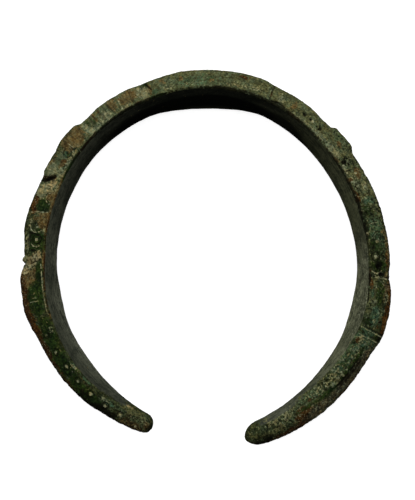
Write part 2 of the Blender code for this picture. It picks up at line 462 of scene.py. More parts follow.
def row_places():
    """Angle and shrinkage of each row, from tip to tip."""
    left_turn, right_turn = np.degrees(TIP_LENGTHS / curve_at(BEND, np.array([LEFT_TIP, RIGHT_TIP])))
    first = LEFT_TIP + left_turn
    last = RIGHT_TIP - right_turn
    outer_radius = BEND[0][1] + THICKNESS[0][1] / 2
    count = round(math.radians(last - first) * outer_radius / ROW_STEP)
    turn = np.linspace(0, math.pi / 2, TIP_ROWS + 1)[1:]
    left = first - left_turn * np.sin(turn[::-1])
    right = last + right_turn * np.sin(turn)
    angles = np.concatenate([left, np.linspace(first, last, count), right])
    shrink = np.concatenate([np.cos(turn[::-1]), np.ones(count), np.cos(turn)])
    return angles, np.maximum(shrink, 0.0)


def outline_places():
    """Part, share of that part and side of each column, from the wall's middle up, over and back."""
    places = []
    for part, count in UPPER_COLUMNS:
        places += [(part, i / count, 1.0) for i in range(count)]
    for part, count in LOWER_COLUMNS:
        places += [(part, 1 - i / count, 0.0) for i in range(count)]
    return np.array(places).T


angles, shrink = row_places()
rim_up, rim_down = wall_ends(angles)
row_sizes = {
    "angle": angles,
    "shrink": shrink,
    "bend": curve_at(BEND, angles),
    "lean": np.radians(curve_at(LEAN, angles)),
    "thickness": curve_at(THICKNESS, angles),
    "bulge": curve_at(CREST_BULGE, angles),
    "roundness": curve_at(ROUNDNESS, angles),
    "rim_up": rim_up,
    "rim_down": rim_down,
}
rows = point_set("rows", [(i, 0, 0) for i in range(len(angles))], row_sizes)
part, share, upper_side = outline_places()
outline = point_set("outline", [(i, 0, 0) for i in range(len(part))], {
    "part": part,
    "share": share,
    "upper_side": upper_side,
})
print(len(angles), "rows and", len(part), "columns")

# %% [markdown]
# ## The skin
#
# The main shape follows a rule, so Geometry Nodes make it. A flat grid is made with as many points as there
# are rows and columns. Each point looks up its row's sizes and its column's place on the outline, and the
# formulas of the cross-section carry it to its place in space. The plates' ends waver a little, because they
# were filed by eye. Merging closes the seam and the two tips, and blurring the positions a few times wears
# every corner round. Each point also keeps its place on the plan, the surface unrolled flat in millimetres,
# along the bar and across it. The marks and the colours are laid out on that plan.

# %% Write the outline's formulas

PLAN_RADIUS = 33.0
MM_PER_DEGREE = math.radians(PLAN_RADIUS)
print("one degree of the bar is", round(MM_PER_DEGREE, 3), "mm long on the plan")


def plate_rise(graph, angle):
    """How far the plates raise the crest at this angle."""
    rise = 0.0
    for first, last, height, lead, tail in PLATES.values():
        rise = graph.step(angle, first, first + lead) * graph.step(angle, last, last - tail) * height + rise
    return rise


def choose(graph, part, *values):
    """The value for this part of the outline."""
    picked = graph.tree.nodes.new("GeometryNodeIndexSwitch")
    picked.data_type = "FLOAT"
    while len(picked.index_switch_items) < len(values):
        picked.index_switch_items.new()
    graph.tree.links.new(part.socket, picked.inputs["Index"])
    for place, value in enumerate(values):
        graph.tree.links.new(value.socket, picked.inputs[place + 1])
    return Value(graph, picked.outputs[0])


def cross_section(graph, row, column, rise):
    """The formulas of the outline: out and up from the wall's middle, and the place across the plan."""
    wall_end = row["rim_down"] + (row["rim_up"] - row["rim_down"]) * column["upper_side"]
    shoulder_out = row["thickness"] + rise - row["bulge"]
    shoulder_up = wall_end * CREST_SHARE_OF_HEIGHT + rise * PLATE_SHARE_ON_FACE
    part = column["part"]
    share = column["share"]

    def up_on_face(out):
        return wall_end + (shoulder_up - wall_end) * out / shoulder_out

    def belly(up):
        return ((up / wall_end) ** 2 - 1.0) * WALL_BELLY

    wall_top = wall_end - RIM_BEVEL
    wall_up = wall_top * share
    corner_start = belly(wall_top)
    corner_out = corner_start + (RIM_BEVEL - corner_start) * share
    corner_up = wall_top + (up_on_face(RIM_BEVEL) - wall_top) * share
    face_out = (shoulder_out - RIM_BEVEL) * share + RIM_BEVEL
    crest_out = shoulder_out + row["bulge"] * (1.0 - (1.0 - share) ** CREST_POWER)
    crest_up = shoulder_up * (1.0 - share)
    out = choose(graph, part, belly(wall_up), corner_out, face_out, crest_out)
    up = choose(graph, part, wall_up, corner_up, up_on_face(face_out), crest_up)
    crest_above = shoulder_out + shoulder_up - crest_up
    crest_below = shoulder_out + shoulder_up + crest_up
    face_below = shoulder_out + shoulder_up * 2.0 + (shoulder_out - out)
    upper_across = choose(graph, part, wall_up - wall_end, out, out, crest_above)
    lower_across = choose(graph, part, -row["rim_up"] - wall_up, face_below, face_below, crest_below)
    across = lower_across + (upper_across - lower_across) * column["upper_side"]
    middle = (row["thickness"] + rise) / 2.0
    turn = graph.math("ARCTAN2", up / wall_end, (out - middle) / middle)
    oval_out = middle + middle * graph.math("COSINE", turn)
    oval_up = wall_end * graph.math("SINE", turn)
    out = out + (oval_out - out) * row["roundness"]
    up = up + (oval_up - up) * row["roundness"]
    side = column["upper_side"] * 2.0 - 1.0
    return middle + (out - middle) * row["shrink"], up * side * row["shrink"], across


# %% Build the skin

WAVER_SIZE = 2.5
WAVER_PER_COLUMN = 0.1
MERGE_WITHIN = 0.001


def read_points(graph, helper, labels, index):
    """The numbers that the helper's point at this index carries."""
    numbers = {}
    for label in labels:
        numbers[label] = graph.add("GeometryNodeSampleIndex", values={
            "Geometry": helper, "Value": graph.named(label), "Index": index,
        })
    return numbers


def helper_geometry(graph, helper):
    """The points of a helper object."""
    return graph.add("GeometryNodeObjectInfo", values={"Object": helper}, output="Geometry")


def keep_attribute(graph, geometry, name, value, kind="FLOAT"):
    """Keeps a number or a vector on each point, under a name."""
    return graph.add("GeometryNodeStoreNamedAttribute", {"data_type": kind}, {
        "Geometry": geometry, "Name": name, "Value": value,
    })


def skin_tree():
    """The grid of rows and columns, wrapped round the bar and worn a little."""
    graph, given = start_tree("bar_skin", {
        "Rows": "Object", "Outline": "Object", "Waver": "Float", "Wear": "Int", "Seed": "Float",
        "Material": "Material",
    })
    row_points = helper_geometry(graph, given["Rows"])
    outline_points = helper_geometry(graph, given["Outline"])
    row_count = graph.add("GeometryNodeAttributeDomainSize", values={"Geometry": row_points})
    column_count = graph.add("GeometryNodeAttributeDomainSize", values={"Geometry": outline_points})
    width = column_count + 1.0
    grid = graph.add("GeometryNodeMeshGrid", values={"Vertices X": row_count, "Vertices Y": width})
    index = graph.add("GeometryNodeInputIndex")
    row_index = graph.math("FLOOR", (index + 0.5) / width)
    column_index = graph.math("MODULO", index - row_index * width, column_count)
    row = read_points(graph, row_points, row_sizes, row_index)
    column = read_points(graph, outline_points, ("part", "share", "upper_side"), column_index)
    flat = graph.vector(row["angle"] * MM_PER_DEGREE, column_index * WAVER_PER_COLUMN, 0.0)
    waver = graph.uneven(flat, WAVER_SIZE, given["Seed"], given["Waver"])
    rise = plate_rise(graph, row["angle"] + waver)
    out, up, across = cross_section(graph, row, column, rise)
    cos_lean = graph.math("COSINE", row["lean"])
    sin_lean = graph.math("SINE", row["lean"])
    radius = row["bend"] + out * cos_lean + up * sin_lean
    height = up * cos_lean - out * sin_lean + REST_LEVEL
    turn = graph.math("RADIANS", row["angle"])
    place = graph.vector(
        (radius * graph.math("SINE", turn) + BEND_CENTRE[0]) * MM,
        (radius * graph.math("COSINE", turn) + BEND_CENTRE[1]) * MM,
        graph.math("MAXIMUM", height, 0.0) * MM,
    )
    plan = graph.vector(row["angle"] * MM_PER_DEGREE, across, 0.0)
    kept = keep_attribute(graph, grid, "plan", plan, "FLOAT_VECTOR")
    moved = graph.add("GeometryNodeSetPosition", values={"Geometry": kept, "Position": place})
    closed = graph.add("GeometryNodeMergeByDistance", values={
        "Geometry": moved, "Distance": MERGE_WITHIN * MM,
    })
    position = graph.add("GeometryNodeInputPosition")
    worn = graph.add("GeometryNodeBlurAttribute", {"data_type": "FLOAT_VECTOR"}, {
        "Value": position, "Iterations": given["Wear"],
    })
    worn_bar = graph.add("GeometryNodeSetPosition", values={"Geometry": closed, "Position": worn})
    smooth = graph.add("GeometryNodeSetShadeSmooth", values={"Geometry": worn_bar})
    return end_tree(graph, smooth, given["Material"])


patina = bpy.data.materials.new("bronze_patina")
bar = bpy.data.objects.new("patinated_bar", bpy.data.meshes.new("patinated_bar"))
bpy.context.scene.collection.objects.link(bar)
run_tree(bar, skin_tree(), {
    "Rows": rows, "Outline": outline, "Waver": 0.5, "Wear": 2, "Seed": 3.0, "Material": patina,
})

# %% [markdown]
# ## Marks on the plan
#
# The smith struck small rings with a dot in the middle, row after row, and cut lines across the bar where one
# plate ends and the next begins. Most are worn and filled with soil now. Each punch mark is one point on the
# plan, with its radii and depth. Each line is a row of points close together, so that the distance to the
# nearest point is the distance to the line. A place is (angle, millimetres from the inner rim).

# %% Lay out the punch marks

# Angle, across, radius, depth, and how far pale soil fills it, from 0 to 1.
DOTS = (
    (-158, 2.3, 0.36, 0.1, 0.7), (-155.7, 0.9, 0.32, 0.1, 0.5), (-131.9, 1.3, 0.3, 0.05, 0.4),
    (-81.7, 2.1, 0.3, 0.08, 0.8), (35.5, 2.1, 0.5, 0.4, 0), (38.2, 2.15, 0.4, 0.3, 0),
    (39.1, 1.95, 0.54, 0.06, 1), (41.5, 1.8, 0.3, 0.24, 0), (42.6, 1.95, 0.62, 0.42, 0),
    (57.2, 1.85, 0.46, 0.36, 0), (58.1, 1, 0.34, 0.05, 0.7), (58.4, 2.1, 0.32, 0.26, 0),
    (60.9, 0.7, 0.32, 0.05, 0.7), (62.2, 2.35, 0.34, 0.08, 1), (64.4, 0.7, 0.3, 0.05, 0.7),
    (69.4, 1.1, 0.28, 0.22, 0), (72.6, 3.4, 0.26, 0.2, 0), (76.4, 1.2, 0.3, 0.24, 0),
    (83.7, 0.45, 0.34, 0.05, 0.55), (86.4, 2.1, 0.38, 0.05, 0.35), (95, 1.8, 0.5, 0.32, 0),
    (97.5, 2.4, 0.46, 0.34, 0), (107.4, 1, 0.28, 0.1, 0.5), (112.3, 3.6, 0.3, 0.2, 0),
)
# The same, with the radius of the ring before the depth.
RINGED_DOTS = (
    (-152.4, 1.8, 0.42, 0.68, 0.1, 0.75), (-146.8, 1.85, 0.4, 0.68, 0.1, 0.8),
    (-141, 1.8, 0.45, 0.7, 0.1, 0.9), (-135.3, 1.8, 0.38, 0.64, 0.1, 0.7),
    (-129.5, 1.7, 0.42, 0.68, 0.1, 0.8), (-123.9, 2.1, 0.38, 0.62, 0.1, 0.8),
    (-117.8, 2.3, 0.36, 0.6, 0.1, 0.45), (-86, 1.9, 0.4, 0.9, 0.22, 0.95),
    (66.6, 1.65, 0.32, 0.6, 0.12, 0.9), (91.9, 1.45, 0.48, 0.9, 0.2, 0.95),
)
# The one dot in two rings, with the outer ring's radius too, and its own filling at the end.
DOUBLE_RINGED_DOT = (-54.7, 2.1, 0.32, 0.86, 1.28, 0.16, 0, 0.55)
PUNCH_LABELS = ("dot", "ring", "outer", "deep", "filled", "outer_filled")


def punch_rows():
    """Every punch mark with all of its numbers, from the left tip to the right."""
    marks = [(angle, across, dot, 0, 0, deep, filled, 0) for angle, across, dot, deep, filled in DOTS]
    for angle, across, dot, ring, deep, filled in RINGED_DOTS:
        marks.append((angle, across, dot, ring, 0, deep, filled, 0))
    return np.array(sorted([*marks, DOUBLE_RINGED_DOT]), dtype=float)


punch_table = punch_rows().T
punch_places = [(angle * MM_PER_DEGREE, across, 0.0) for angle, across in zip(punch_table[0], punch_table[1])]
punches = point_set("punches", punch_places, dict(zip(PUNCH_LABELS, punch_table[2:])))
print(len(punch_places), "punch marks")

# %% Lay out the cut lines and the arcs

# Angle and across at the start, the same at the end, width, depth, pale filling from 0 to 1.
CUT_LINES = (
    (-112, 0.35, -104.5, 0.42, 0.34, 0.02, 0.95), (-104.5, 0.42, -99, 0.5, 0.34, 0.02, 0.9),
    (-99, 0.5, -94.5, 0.75, 0.34, 0.02, 0.9), (-106.5, 1.8, -106.3, 3.5, 0.32, 0.04, 0.9),
    (-105.5, 1.5, -105.3, 3, 0.26, 0.04, 0.65), (-77.2, 4.1, -76.6, 2.6, 0.42, 0.1, 0.8),
    (-76.6, 2.6, -76.3, 0.7, 0.46, 0.12, 0.8), (-63.8, 2.1, -66.1, 3.9, 1.2, 0.85, 0),
    (-66.1, 3.9, -66.5, 5, 0.85, 0.5, 0), (-53.3, 0.8, -53.1, 3.6, 0.26, 0.04, 0.65),
    (-51.9, 0.6, -52, 3.2, 0.28, 0.04, 0.7), (-50.4, -0.8, -46, -0.7, 0.36, 0, 0.3),
    (-41.2, 1, -41.6, 3.8, 0.5, 0.08, 0), (-39.4, 0.9, -40, 3.9, 0.45, 0.1, 0),
    (-38.6, 0.6, -38.8, 2.6, 0.42, 0.03, 0.75), (-37.4, 0.9, -37.8, 3.9, 0.45, 0.1, 0),
    (-36.4, 0.5, -36.5, 2.4, 0.42, 0.03, 0.8), (-35.4, 0.9, -35.6, 3.9, 0.4, 0.09, 0),
    (-33.4, 0.8, -34.3, 3.9, 0.55, 0.1, 0), (-28.2, 0.8, -28.4, 3.9, 0.38, 0.08, 0),
    (-26, 0.8, -26, 3.9, 0.38, 0.08, 0), (-30.3, 0.8, -30.2, 3.9, 0.36, 0.06, 0.8),
    (-18.8, 2, -20.2, 3.9, 0.52, 0.34, 0), (22.5, 0.2, 22.2, 4.7, 0.38, 0.16, 0.15),
    (23.2, 0.4, 25.6, 0.85, 0.5, 0.36, 0), (25.6, 0.85, 28.6, 0.7, 0.46, 0.3, 0),
    (56.5, 1.8, 56.7, 4.2, 0.44, 0.08, 0.3), (60.2, 0.9, 60.6, 2.2, 0.34, 0.2, 0),
    (69.4, 3.6, 71.1, 1.9, 0.36, 0.06, 0.35), (80.4, 1.2, 80, 3.1, 0.42, 0.06, 0.75),
    (98.3, 3.4, 98.4, 6.6, 0.5, 0.16, 0.1), (99, 1, 98.9, 5, 0.3, 0, 0.45),
    (115.5, 0.4, 115.5, 5.2, 0.32, 0.12, 0), (117.7, 0.8, 117.5, 5.2, 0.3, 0.12, 0),
    (116.1, 0.4, 116.1, 5.2, 0.36, 0, 0.8), (118.5, 0.5, 118.1, 5.2, 0.4, 0, 1),
    (-93.7, 4.6, -93.5, 6.8, 0.6, 0.3, 0), (-91.2, 4.8, -91, 6.8, 0.5, 0.2, 0),
    (-93.9, 2.9, -92.9, 0.8, 0.34, 0.14, 0),
)
# Worn rings, of which only a part is left: angle and across of the centre, radius, the bearings between which
# it still shows, in degrees from straight along the bar round to outward, then width, depth, pale filling.
ARCS = (
    (-86, 1.9, 1.4, 130, 220, 0.38, 0.08, 0.95), (-86, 1.9, 1.4, -35, 25, 0.26, 0.06, 0.2),
    (-81, 2.25, 1.5, 95, 225, 0.42, 0.12, 0.95), (-81, 2.25, 1.5, 20, 70, 0.26, 0.06, 0.3),
    (-71.3, 0.65, 1.25, 10, 170, 0.36, 0.07, 0.85), (-71.3, 0.65, 0.66, 20, 160, 0.28, 0.05, 0.6),
    (95.4, 1.5, 1.2, -65, 65, 0.44, 0.06, 0.95), (57.6, 1.9, 0.9, 100, 240, 0.36, 0.16, 0),
)
POINT_GAP = 0.05


def points_on_line(start_angle, start_across, end_angle, end_across):
    """Points close together along a straight line on the plan."""
    start = np.array([start_angle * MM_PER_DEGREE, start_across, 0.0])
    end = np.array([end_angle * MM_PER_DEGREE, end_across, 0.0])
    count = math.ceil(np.linalg.norm(end - start) / POINT_GAP) + 1
    return np.linspace(start, end, count)


def points_on_arc(angle, across, radius, first, last):
    """Points close together along a part of a circle on the plan."""
    count = math.ceil(radius * math.radians(last - first) / POINT_GAP) + 1
    bearings = np.radians(np.linspace(first, last, count))
    along = angle * MM_PER_DEGREE + radius * np.cos(bearings)
    return np.column_stack([along, across + radius * np.sin(bearings), np.zeros(len(bearings))])


strokes = [(points_on_line(*line[:4]), line[4:]) for line in CUT_LINES]
strokes += [(points_on_arc(*arc[:5]), arc[5:]) for arc in ARCS]
lines = point_set("lines", np.concatenate([run for run, _ in strokes]), {
    label: np.concatenate([np.full(len(run), sizes[place]) for run, sizes in strokes])
    for place, label in enumerate(("width", "deep", "filled"))
})
print(len(CUT_LINES), "cut lines and", len(ARCS), "arcs")

# %% [markdown]
# ## Colours on the plan
#
# No two parts of the patina are alike: brown oxide on the outer edges, smooth dark green here and there, pale
# soil in every hollow, coarse green grains on the right arm. Some of the dark patches are painted shade,
# where the outer crest turns away from the light. A picture could carry all that, but a short list of soft
# patches on
# the plan says the same in words: where each one is, how long, how wide and how strong. The material breaks
# their outlines up with noise, so they don't look like the ovals that they are.

# %% List the patches of colour

# How many half lengths from its middle a patch has faded out.
FADED_OUT = 1.5
# Angle, across, half length in degrees, half width in millimetres, strength.
COLOUR_PATCHES = {
    "silt": (
        (4, 2, 55, 5, 1.3), (66, 2, 10, 3, 1), (-62, 2.6, 9, 2.4, 1), (-78, 3, 6, 1.6, 0.45),
        (78, 2.6, 8, 2.6, 0.5), (107, 1.4, 10, 2.6, 0.6), (134, 5.3, 15, 1.6, 1), (128, 0.8, 8, 1.6, 0.7),
        (153, 1, 12, 5.5, 0.5), (-158, 0.6, 7, 3.6, 0.65),
    ),
    "teal": (
        (-3, 1.8, 12, 1.8, 0.5), (50, 3.6, 5, 1.2, 0.45), (-18, 1, 3, 0.9, 0.6), (72.5, 2.5, 1.4, 1.4, 1),
        (84, 2.4, 8, 2.2, 0.6), (111.4, 2.1, 3.2, 0.9, 1.3), (104.4, 0.8, 2, 0.5, 0.6),
        (106, 4.4, 1, 0.7, 0.8), (-57, 3.2, 2.5, 0.9, 0.5), (-54.7, 2.1, 1.8, 1, 0.9),
        (-147, 0.9, 3, 0.5, 0.9), (-131, 0.4, 1.4, 0.4, 1), (-137, 0.3, 3, 0.3, 0.7),
        (119.8, 2.2, 2.4, 2.6, 1), (116.6, 2.2, 1, 2, 0.9), (128, 1, 9, 1.4, 0.8), (143, 1.4, 9, 1.4, 0.55),
    ),
    "rust": (
        (-158, 3.4, 4, 1.1, 0.6), (-147.5, 3.8, 3, 0.9, 0.9), (-135.5, 3.2, 2.6, 0.6, 0.8),
        (-128, 3.3, 4, 0.5, 0.9), (-116, 3.4, 2.2, 0.7, 1.1), (-116, 4.2, 5, 1, 1.1),
        (-106, 5, 12.5, 1.7, 1.3), (-98.4, 3.9, 3, 0.9, 0.8), (-99, 0.16, 7, 0.22, 0.7),
        (-80, 0.12, 15.5, 0.26, 0.8), (-73.4, 3.7, 4, 0.8, 1.1), (-58.4, 1.7, 1.7, 0.75, 1.1),
        (-63.9, 2.4, 0.8, 1, 0.8), (-48, 0.1, 5.5, 0.22, 0.8), (-26, 0.3, 4, 0.3, 0.5),
        (12.2, 3.5, 1.9, 0.45, 0.9), (8.4, 3.6, 0.8, 0.3, 0.6), (22.4, 2.6, 0.35, 2.2, 0.55),
        (51.5, 3, 1, 0.4, 0.6), (61.4, 3, 1.4, 0.5, 0.9), (63.7, 0.6, 0.8, 0.6, 1), (70.8, 0.5, 2.2, 0.5, 1),
        (93, 3.9, 4, 0.5, 0.7), (101.6, 4.6, 3.2, 1.4, 0.9), (108, 5, 8.5, 1.2, 1),
        (112.6, 3.9, 2.6, 1.1, 0.5), (101.4, 0.5, 1.6, 0.4, 0.9), (120.6, 0.8, 1.2, 0.5, 0.8),
        (149.4, 3.2, 3, 0.9, 1.2), (145.2, 2, 1, 0.4, 0.6), (152, 5, 4, 1, 0.7),
    ),
    "tan": (
        (-80.6, 1.2, 1.9, 1.2, 1), (-78, 1.2, 1.7, 1.3, 1.1), (-78.6, 2.8, 1.4, 0.7, 0.7),
        (-71, 1, 2.4, 1, 1.2), (-59.4, 1.9, 2, 0.7, 0.8), (-59.5, 3.9, 2.6, 0.6, 0.8),
        (-49.8, 2.8, 4.4, 2, 1.2), (-39.9, 2.8, 0.9, 1.6, 0.6), (-37.6, 2.8, 0.7, 1.6, 0.6),
        (-32.8, 2.8, 1.8, 1.6, 0.9), (-27, 2.6, 3.4, 1.7, 1), (-19.4, 1.9, 0.8, 1.3, 0.8),
        (-14.5, 2.8, 1.4, 0.8, 0.8), (-8.5, 2.6, 1.4, 0.6, 0.6), (1.8, 1.7, 1, 0.5, 0.6),
        (7, 1.1, 1.4, 0.35, 0.5), (-5, 4.6, 26, 0.35, 0.7), (31.2, 2.2, 1, 1, 0.8), (33, 0.3, 5, 0.3, 0.6),
        (54.5, 0.35, 2.2, 0.28, 1), (63, 0.35, 1.4, 0.28, 0.9), (67.5, 0.35, 1.4, 0.28, 0.9),
        (-157, 2.6, 3.8, 1, 1), (-161, 1.2, 1.4, 1.2, 0.7), (46, 4.6, 3, 0.4, 0.5),
        (51.3, 2.75, 1.4, 0.6, 0.8), (63, 2.7, 2.4, 0.6, 0.9), (84, 3.9, 1.8, 0.5, 0.6),
        (-82, 0.2, 24, 0.34, 0.9), (88, 4.2, 7, 0.5, 0.7), (97.6, 3.6, 1.6, 0.8, 0.6),
        (123.6, 3.9, 2, 0.7, 0.6), (-108, 3.2, 5, 0.6, 0.7), (-98.4, 3, 3.2, 1.5, 1.3),
        (-101, 1, 3, 0.3, 0.6), (-135, 1, 4, 0.6, 0.5), (-122, 1, 5, 0.5, 0.5), (103, 3.2, 4, 0.9, 0.7),
        (-107, 4.6, 3, 0.6, 0.6),
    ),
    "dun": (
        (131, 4.3, 11, 1.1, 1.2), (143, 4.2, 8, 0.9, 0.9), (150, 4.4, 8, 0.6, 0.7), (102, 3.6, 3, 0.7, 0.6),
    ),
    "maroon": (
        (-123.5, 3.5, 5, 0.7, 1.3), (-128, 4.5, 14, 0.6, 1.2), (-150, 3.6, 8, 0.7, 1.1),
        (-159, 3.6, 4, 1.2, 0.8), (-106, 4.9, 11, 1.1, 0.85), (-135.5, 3.6, 3, 0.7, 1),
        (-65.2, 3.1, 0.9, 1.6, 0.9), (132, 5.5, 14, 0.8, 0.9), (157, 4.6, 9, 0.9, 1), (97.6, 5, 4, 0.6, 0.8),
        (98.5, 0.1, 2.6, 0.3, 0.8), (-90, 0.05, 24, 0.22, 0.7), (-48, 0.05, 6, 0.2, 0.6),
    ),
    "green": (
        (-140, 2.6, 7, 1.3, 1.2), (-128, 1.9, 9, 1.5, 1.1), (-118, 1.8, 6, 1.5, 1.1),
        (-106, 2.2, 5, 1.6, 1.4), (-100, 1.1, 6, 0.8, 1.2), (-86.6, 1.9, 4.4, 1.8, 1.1),
        (-74.2, 2, 2.3, 1.3, 1.3), (-55, 2, 1, 0.8, 0.4), (-59, 0.05, 5, 0.25, 1.2), (-33, 0, 12, 0.22, 1),
        (-18, 0.1, 4, 0.3, 1.1), (-41, 2.6, 0.9, 1.6, 0.6), (-42.8, 2.8, 0.8, 1.2, 0.6),
        (-20.4, 3.6, 0.9, 0.8, 0.9), (75.5, 1.6, 2.6, 1.1, 0.65), (88, 1.7, 3.5, 1.5, 0.62),
        (95.2, 2.2, 2.6, 1.7, 0.78), (104, 2.4, 5, 1, 0.8), (113.6, 1.2, 1.5, 1.4, 0.7),
        (116.8, 4.4, 1, 0.9, 0.9), (132, 2.8, 10.5, 0.34, 1.4), (-141, 3.4, 3, 0.7, 1.2),
        (149, 2.7, 5, 0.4, 0.65), (134, 1.2, 12, 1.4, 0.45),
    ),
    "pale": (
        (-145.6, 0.9, 1.6, 0.4, 0.8), (-131, 0.4, 1.2, 0.3, 0.9), (-117, 0.9, 1.8, 0.5, 0.6),
        (-87, 3.7, 3.4, 0.5, 0.7), (-80.6, 3.6, 2, 0.5, 0.5), (-83, 0.7, 1.2, 0.3, 0.6),
        (-69.6, 3.2, 2.4, 1.2, 1.2), (-67.2, 2, 2.6, 1.8, 0.7), (-61.8, 3.2, 2.4, 1.2, 1),
        (-61.6, 1.2, 2, 0.9, 0.9), (-57, 0.8, 3.5, 0.5, 0.7), (-44.2, 2.4, 1, 2.3, 0.9),
        (-41.5, 0.9, 4, 0.8, 0.8), (-36.6, 1.6, 2.4, 1.6, 0.8), (-28.8, 0.8, 2.2, 0.5, 0.6),
        (-21.9, 1.9, 2, 1.7, 1), (-13, 1.4, 2.4, 0.7, 0.5), (-5, 1.2, 4, 0.5, 0.35), (9, 1.2, 4, 0.5, 0.35),
        (15, 1.5, 5, 0.7, 0.45), (26, 2, 1.5, 0.9, 0.9), (36, 0.6, 4, 0.4, 0.7), (44, 0.75, 5, 0.6, 0.9),
        (51, 0.8, 4, 0.8, 1), (57.4, 2.6, 1.2, 0.8, 0.6), (59, 0.7, 2, 0.5, 0.8), (66, 1.6, 3, 0.9, 0.6),
        (67.5, 3, 1, 0.6, 0.7), (83.8, 0.4, 0.7, 0.3, 0.8), (86.4, 2.1, 0.7, 0.5, 0.7),
        (98.6, 2.4, 0.5, 2.2, 0.7), (104.5, 3.8, 2, 0.6, 0.6), (113.4, 2.4, 1.4, 0.6, 0.6),
        (119.6, 1.6, 2, 1.4, 0.42), (138, 1.2, 9, 1.1, 0.36), (156, 1.3, 7, 1.6, 0.44),
        (-92.2, 4.4, 1, 0.9, 0.9),
    ),
    "cream": (
        (-96, 4.2, 1.2, 0.9, 1), (-94.6, 3.4, 1.5, 0.9, 1.1), (-93.2, 2.6, 1.6, 0.9, 1.2),
        (-91.9, 1.8, 1.5, 0.9, 1.2), (-90.8, 1.2, 1.4, 0.6, 0.7), (-68.6, 3, 2, 0.9, 0.32),
        (-66.6, 1.8, 2, 1.2, 0.56), (-61, 3.4, 1.4, 0.6, 0.5), (-153.8, -2, 1.4, 0.35, 1.3),
    ),
    # Black oxide along the rim and elsewhere; the patches along the outer crest are painted shade, where it
    # turns away from the light.
    "dark": (
        (-36, 0.12, 26, 0.34, 0.85), (20, 0, 32, 0.58, 0.85), (68, -0.05, 22, 0.5, 0.85),
        (131, 3.1, 9, 0.22, 0.8), (-141, 3, 5, 0.9, 0.6), (-149, 4.3, 13, 0.9, 1.5), (-158, 2.2, 6, 3, 0.48),
        (-79, 2.6, 5, 1.4, 0.35), (-94, 2.6, 4, 2, 0.35), (155, 2.6, 10, 3, 0.24),
        (-162.3, 2.6, 1.2, 3, 0.75), (-147.5, 3.2, 4.6, 1.3, 1.1), (-128, 4.9, 14, 0.6, 0.9),
        (-151, 4.7, 11, 0.7, 1), (-135, 5.9, 27, 1.1, 1.1), (-106, 5.6, 10, 0.5, 0.7),
        (-104, 6.3, 10, 0.6, 0.9), (-83.9, 3, 0.5, 0.9, 0.9), (-89.6, 2.6, 0.6, 0.8, 0.7),
        (-86, 3.4, 2.6, 0.5, 0.6), (-84.4, 1.8, 0.5, 0.6, 0.7), (57, 1.4, 0.8, 0.7, 0.9),
        (72, 0.35, 2.4, 0.3, 0.8), (81, 0.25, 5, 0.3, 0.7), (88.6, 1.1, 1.2, 0.5, 0.6),
        (94.6, 2, 1.3, 0.7, 0.85), (97.4, 2.6, 0.6, 0.7, 0.95), (99.8, 0, 3, 0.3, 0.9),
        (104, 0.05, 7, 0.22, 0.6), (116.6, 4.9, 1, 0.6, 0.8), (130, 3.6, 7, 0.35, 0.7),
        (158, 6, 10, 1.3, 0.9), (163, 3.6, 4, 0.8, 0.7),
    ),
}


def paint(mesh, patches):
    """Gives each point the strength of each kind of patch there: full inside, fading out over the edge."""
    plan = np.empty(len(mesh.vertices) * 3)
    mesh.attributes["plan"].data.foreach_get("vector", plan)
    along, across, _ = plan.reshape(-1, 3).T
    for name, places in patches.items():
        strength = np.zeros(len(along))
        for angle, middle, half_length, half_width, most in places:
            away = np.hypot((along / MM_PER_DEGREE - angle) / half_length, (across - middle) / half_width)
            strength = np.maximum(strength, most * np.clip(FADED_OUT - away, 0.0, 1.0))
        mesh.attributes.new(name, "FLOAT", "POINT").data.foreach_set("value", strength)
    print("painted", {name: len(places) for name, places in patches.items()})


paint(bar.data, COLOUR_PATCHES)

# %% [markdown]
# ## Wear and crust on the plan
#
# A second list says how the metal was treated. Grains, rough and filed change its grain. Overgrown is where
# the outer crust has crept down over the inner wall, and bare is where the wall's plain metal reaches up past
# the rim. The pale patches on the wall are wear, and also painted light that makes the wall paler towards its
# lower edge. Scuffed is where that wear is uneven, sallow is where it has yellowed, and shade is painted
# shade:
# the back of the wall, and the rim near the left tip, darkened nearly to black.

# %% List the patches of wear and crust

